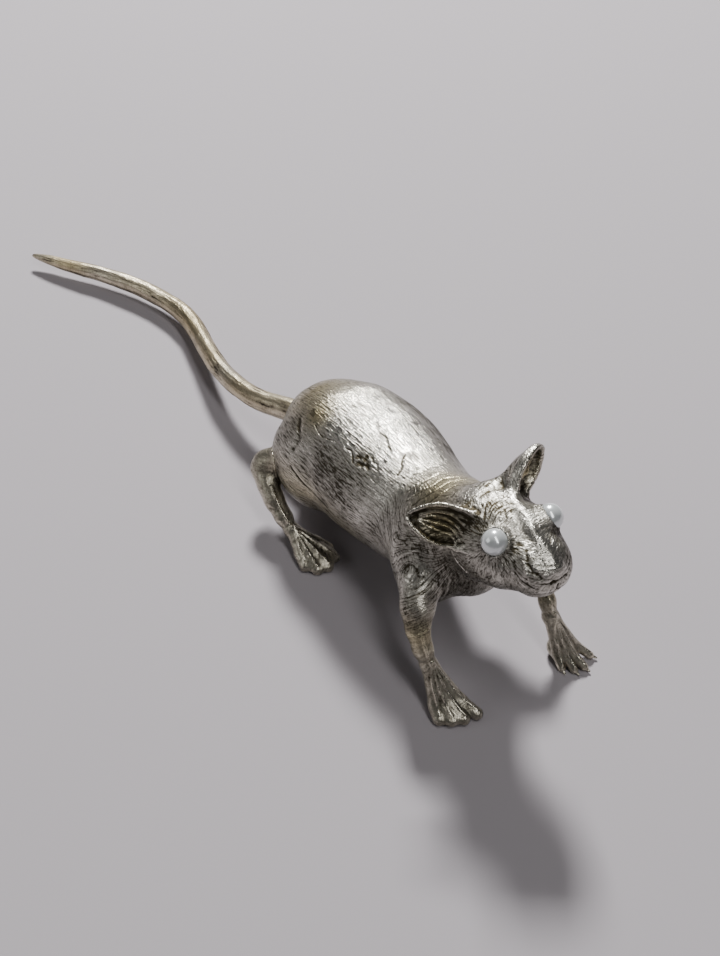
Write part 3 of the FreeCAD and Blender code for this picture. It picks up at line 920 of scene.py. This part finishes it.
def carve(name, sdf, marks, strokes, roughness, elbow):
    """The points of a skin with its marks, strokes and lumps cut in, and the depths of both cuts."""
    points, quads = SKINS[name]
    cut = marks_depth(sdf, points, marks)
    fur = np.zeros(len(points))
    if strokes:
        fur = stroke_depth(points, strokes, STROKES_NEAR)
    for number, (size, height) in enumerate(roughness):
        cut = cut - value_noise(points, size, 3 + number) * height
    if "torso" in name:
        fur = fur * (1.0 - 0.8 * elbow)
        cut = cut + UNDER_HEAD * np.clip((points - NECK_POINT) @ NECK_AXIS, 0, 1)
    if name == "torso_rear":
        cut = cut + UNDER_FRONT * np.clip(points[:, 0] - WAIST - 0.8, 0, 1)
    points = points - point_normals(points, quads) * (cut + fur)[:, None]
    points[:, 2] = np.maximum(points[:, 2], 0.0)
    return points, cut, fur


def darkness(name, points, quads, cut, fur, elbow):
    """From below 0 on rubbed ridges and painted highlights to 1 in cuts, folds and sockets, which hold the
    patina, with painted shade low on the shoulders and towards the belly of the torso.
    """
    folds = surface_hollow(points, quads, HOLLOW_ROUNDS)
    hollow = STAIN["leg_hollow" if "leg" in name else "hollow"]
    dark = STAIN["stroke"] * fur + STAIN["cut"] * np.clip(cut, 0, 1) + STAIN["raised"] * np.clip(cut, -1, 0)
    dark = dark + hollow * np.clip(folds, 0, 1) - STAIN["bulge"] * np.clip(-folds, 0, 1)
    # Painted highlights, partly rubbed metal too: lighter on the top of the back, the nose tip and the
    # haunch, and along the ridge from brow to nose.
    dark = dark - POLISH_AND_HIGHLIGHT * (patches(points, BRIGHT_SPOTS) + 1.3 * ridge_share(points))
    dark = dark + patches(points, DARK_SPOTS) + 0.15 * elbow + PATINA[name.split("_")[0]]
    for eye in EYES.values():
        rim_gap = np.linalg.norm(points - eye, axis=1) - PEARL_RADIUS - 0.1
        dark = dark + 0.5 * np.exp(-(rim_gap / 0.5) ** 2)
    if "torso" in name:
        # Painted shade: darker low on the front of the shoulders and towards the belly.
        shoulder = np.clip((points[:, 0] - 36.0) / 12.0, 0, 1) * np.clip((38 - points[:, 2]) / 8, 0, 1)
        belly = np.clip((19.0 - points[:, 2]) / 10.0, 0, 1)
        dark = dark + patches(points, DARK_TORSO_SPOTS) + 0.20 * shoulder + 0.20 * belly
    return dark


def finish_piece(name, sdf, marks, strokes, roughness, slot, nodes):
    """Cuts the marks and strokes into a skin and adds it to the scene."""
    smooth, quads = SKINS[name]
    normals = point_normals(smooth, quads)
    elbow = patches(smooth, ELBOWS)
    points, cut, fur = carve(name, sdf, marks, strokes, roughness, elbow)
    dark = darkness(name, points, quads, cut, fur, elbow)
    warm = patches(points, BRASSY_SPOTS) + 0.9 * elbow
    for ear in EARS.values():
        heart = 0.6 * np.asarray(ear["root"]) + 0.4 * np.asarray(ear["tip"])
        inside = bump_at(points, heart, (4.5, 4.5, 4.5)) * (normals @ np.asarray(ear["face"]) > 0.2)
        warm = warm + 0.9 * inside
        dark = dark + 0.05 * inside
    # The fine lines fade at the elbows and along the ridge; on the ridge this adds to its painted
    # highlight.
    faded = 0.6 * np.clip(elbow, 0, 1) * ("torso" in name) + 0.8 * ridge_share(points)
    looks = {
        # Patina darkness with painted highlights and painted shade mixed in.
        "patina_and_painted_light": np.clip(dark, -0.3, 1),
        "warm": np.clip(warm, 0, 1),
        "comb": comb(points, name == "head"),
        "lined": 1.0 - faded,
    }
    add_piece(name + "_skin", points, quads, MATERIALS[slot], nodes, looks)


# Lumps of the casting: size and height.
FURRED_LUMPS = ((7.0, 0.22), (2.4, 0.05))
LEG_LUMPS = ((2.6, 0.07), (0.8, 0.025))
STROKES = fur_strokes()
for name, piece in FURRED.items():
    marks = list(MARKS)
    if name == "head":
        marks = list(FACE_MARKS) + [mark for ear in EARS.values() for mark in ear_marks(ear)]
    finish_piece(name, piece["sdf"], marks, STROKES, FURRED_LUMPS, "body_metal", piece["nodes"])
for name, (leg, mirror) in LEGS.items():
    finish_piece(name, leg_piece(name), tendon_marks(leg, mirror), None, LEG_LUMPS, "leg_metal", [name])

# Tail: x, y, z, radius.
TAIL = (
    (-14.0, 0.9, 16.4, 3.7), (-18.0, 0.4, 15.9, 3.5), (-24.8, -0.8, 14.5, 3.1), (-33.6, -3.9, 12.5, 2.85),
    (-42.3, -5.2, 11.0, 2.7), (-52.6, -4.9, 9.3, 2.65), (-63.0, -3.0, 7.6, 2.6), (-72.9, -0.7, 6.2, 2.6),
    (-82.6, 0.7, 5.0, 2.6), (-91.4, -0.5, 4.6, 2.5), (-101.8, -3.9, 4.4, 2.4), (-112.7, -9.5, 4.2, 2.2),
    (-121.6, -15.4, 4.0, 1.85), (-128.5, -19.6, 3.8, 1.35), (-132.4, -22.0, 3.7, 0.65),
    (-133.2, -22.5, 3.7, 0.02),
)
TAIL_RINGS = 640
TAIL_SIDES = 96


def ring_quads(rings, sides):
    """Quads between rings of points, one ring after another."""
    i = np.arange(rings - 1)[:, None] * sides
    j = np.arange(sides)[None]
    k = (j + 1) % sides
    return np.stack([i + j, i + sides + j, i + sides + k, i + k], -1).reshape(-1, 4)


def rolled_out(at, turn, stretch, girth):
    """Noise coordinates that run along the tail and close round it without a seam."""
    parts = (at[:, None] * stretch, girth * np.cos(turn)[None], girth * np.sin(turn)[None])
    return np.stack(np.broadcast_arrays(*parts), -1)


def add_tail():
    """A round, tapering tail with long streaks and lumps."""
    path, at = smooth_path(TAIL, TAIL_RINGS)
    tangent = np.gradient(path[:, :3], axis=0)
    tangent /= np.linalg.norm(tangent, axis=1)[:, None]
    side = np.cross(tangent, (0, 0, 1.0))
    side /= np.linalg.norm(side, axis=1)[:, None]
    up = np.cross(side, tangent)
    turn = np.linspace(0, 2 * np.pi, TAIL_SIDES, endpoint=False)
    normal = side[:, None] * np.cos(turn)[None, :, None] + up[:, None] * np.sin(turn)[None, :, None]
    rolled = rolled_out(at, turn, 0.10, 3.2)
    streak = 0.6 * value_noise(rolled, 0.55, 3) + 0.4 * value_noise(rolled * np.array([2.0, 1, 1]), 0.3, 4)
    lumps = value_noise(rolled_out(at, turn, 1.0, 3.0), 4.0, 9)
    taper = np.clip(path[:, 3:4] / 1.5, 0, 1)
    radius = path[:, 3:4] + (0.10 * streak + 0.10 * lumps) * taper
    radius[0] = 0.02
    points = (path[:, None, :3] + normal * radius[..., None]).reshape(-1, 3)
    seam = np.exp(-(body_sdf(points) / 0.7) ** 2)
    dark = 1.44 * np.clip(-streak - 0.12, 0, 1).ravel() + 0.5 * seam
    facing_up = np.clip((normal[..., 2].ravel() + 1.0) / 1.6, 0, 1)
    warm = facing_up * np.clip(0.55 * value_noise(points, 9.0, 21) + 0.45, 0, 1)
    looks = {"patina_and_painted_light": np.clip(dark, 0, 1), "warm": warm}
    quads = ring_quads(TAIL_RINGS, TAIL_SIDES)
    add_piece("tail_skin", points, quads, MATERIALS["tail_metal"], ["tail"], looks)


def ball(middle, radius, rings, sides):
    """A round ball of rings from pole to pole."""
    lat = np.linspace(0, np.pi, rings)[:, None]
    lon = np.linspace(0, 2 * np.pi, sides, endpoint=False)[None]
    parts = (np.sin(lat) * np.cos(lon), np.sin(lat) * np.sin(lon), np.cos(lat))
    points = np.stack(np.broadcast_arrays(*parts), -1)
    return middle + radius * points.reshape(-1, 3), ring_quads(rings, sides)


add_tail()
for side, middle in EYES.items():
    points, quads = ball(middle, PEARL_RADIUS, 48, 72)
    add_piece("pearl_" + side, points, quads, MATERIALS["pearl"], ["eye_pearl_" + side])
    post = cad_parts["eye_post_" + side]
    post.data.materials.clear()
    post.data.materials.append(MATERIALS["tail_metal"])

# ------------------------------------------------------------------ floor, light and camera
FLOOR_HALF = 3.0
FLOOR_CORNERS = [(x * FLOOR_HALF, y * FLOOR_HALF, 0) for x, y in ((-1, -1), (1, -1), (1, 1), (-1, 1))]
floor_mesh = bpy.data.meshes.new("floor")
floor_mesh.from_pydata(FLOOR_CORNERS, [], [(0, 1, 2, 3)])
floor = bpy.data.objects.new("floor", floor_mesh)
bpy.context.collection.objects.link(floor)
floor_look = bpy.data.materials.new("floor_look")
floor_look.use_nodes = True
floor_shader = floor_look.node_tree.nodes["Principled BSDF"]
floor_shader.inputs["Base Color"].default_value = (0.40, 0.37, 0.39, 1)
floor_shader.inputs["Roughness"].default_value = 0.85
floor_mesh.materials.append(floor_look)

VIEW_AZIMUTH = math.radians(-33.5)
VIEW_HEIGHT = math.radians(45.0)
VIEW_DISTANCE = 463.4
VIEW_CENTRE = np.array([-6.0, 8.7, 0.0])
VIEW_ANGLE = math.radians(30.0)

toward_camera = np.array([
    math.cos(VIEW_HEIGHT) * math.cos(VIEW_AZIMUTH),
    math.cos(VIEW_HEIGHT) * math.sin(VIEW_AZIMUTH),
    math.sin(VIEW_HEIGHT),
])


def place(p):
    """A point of the layout as a Vector in the frame's metres."""
    return Vector(((np.asarray(p, float) + SHIFT) * MM).tolist())


def aim(obj, at):
    """Turns an object so that it looks at a point."""
    obj.rotation_euler = (at - obj.location).to_track_quat("-Z", "Y").to_euler()


camera_data = bpy.data.cameras.new("camera")
camera_data.sensor_fit = "VERTICAL"
camera_data.angle = VIEW_ANGLE
camera_data.clip_start = 0.01
camera = bpy.data.objects.new("camera", camera_data)
bpy.context.collection.objects.link(camera)
camera.location = place(VIEW_CENTRE + VIEW_DISTANCE * toward_camera)
aim(camera, place(VIEW_CENTRE))
bpy.context.scene.camera = camera


LIGHT_TARGET = Vector((0.03, 0, 0.02))


def soft_light(name, azimuth, height, distance, wide, high, power):
    """A rectangular studio light in metres and watts, seen from the mouse at two angles in degrees."""
    a = math.radians(azimuth)
    h = math.radians(height)
    data = bpy.data.lights.new(name, "AREA")
    data.shape = "RECTANGLE"
    data.size = wide
    data.size_y = high
    data.energy = power
    light = bpy.data.objects.new(name, data)
    bpy.context.collection.objects.link(light)
    direction = Vector((math.cos(h) * math.cos(a), math.cos(h) * math.sin(a), math.sin(h)))
    light.location = direction * distance
    aim(light, LIGHT_TARGET)


soft_light("key_behind", 146.5, 46, 1.1, 0.18, 0.18, 24)
soft_light("front_strip", -6, 60, 0.9, 0.12, 0.8, 2.6)
soft_light("left_fill", -110, 30, 1.2, 0.6, 0.6, 1.5)

world = bpy.data.worlds.new("studio")
world.use_nodes = True
world.node_tree.nodes["Background"].inputs["Color"].default_value = (0.85, 0.87, 0.9, 1)
world.node_tree.nodes["Background"].inputs["Strength"].default_value = 0.06
bpy.context.scene.world = world
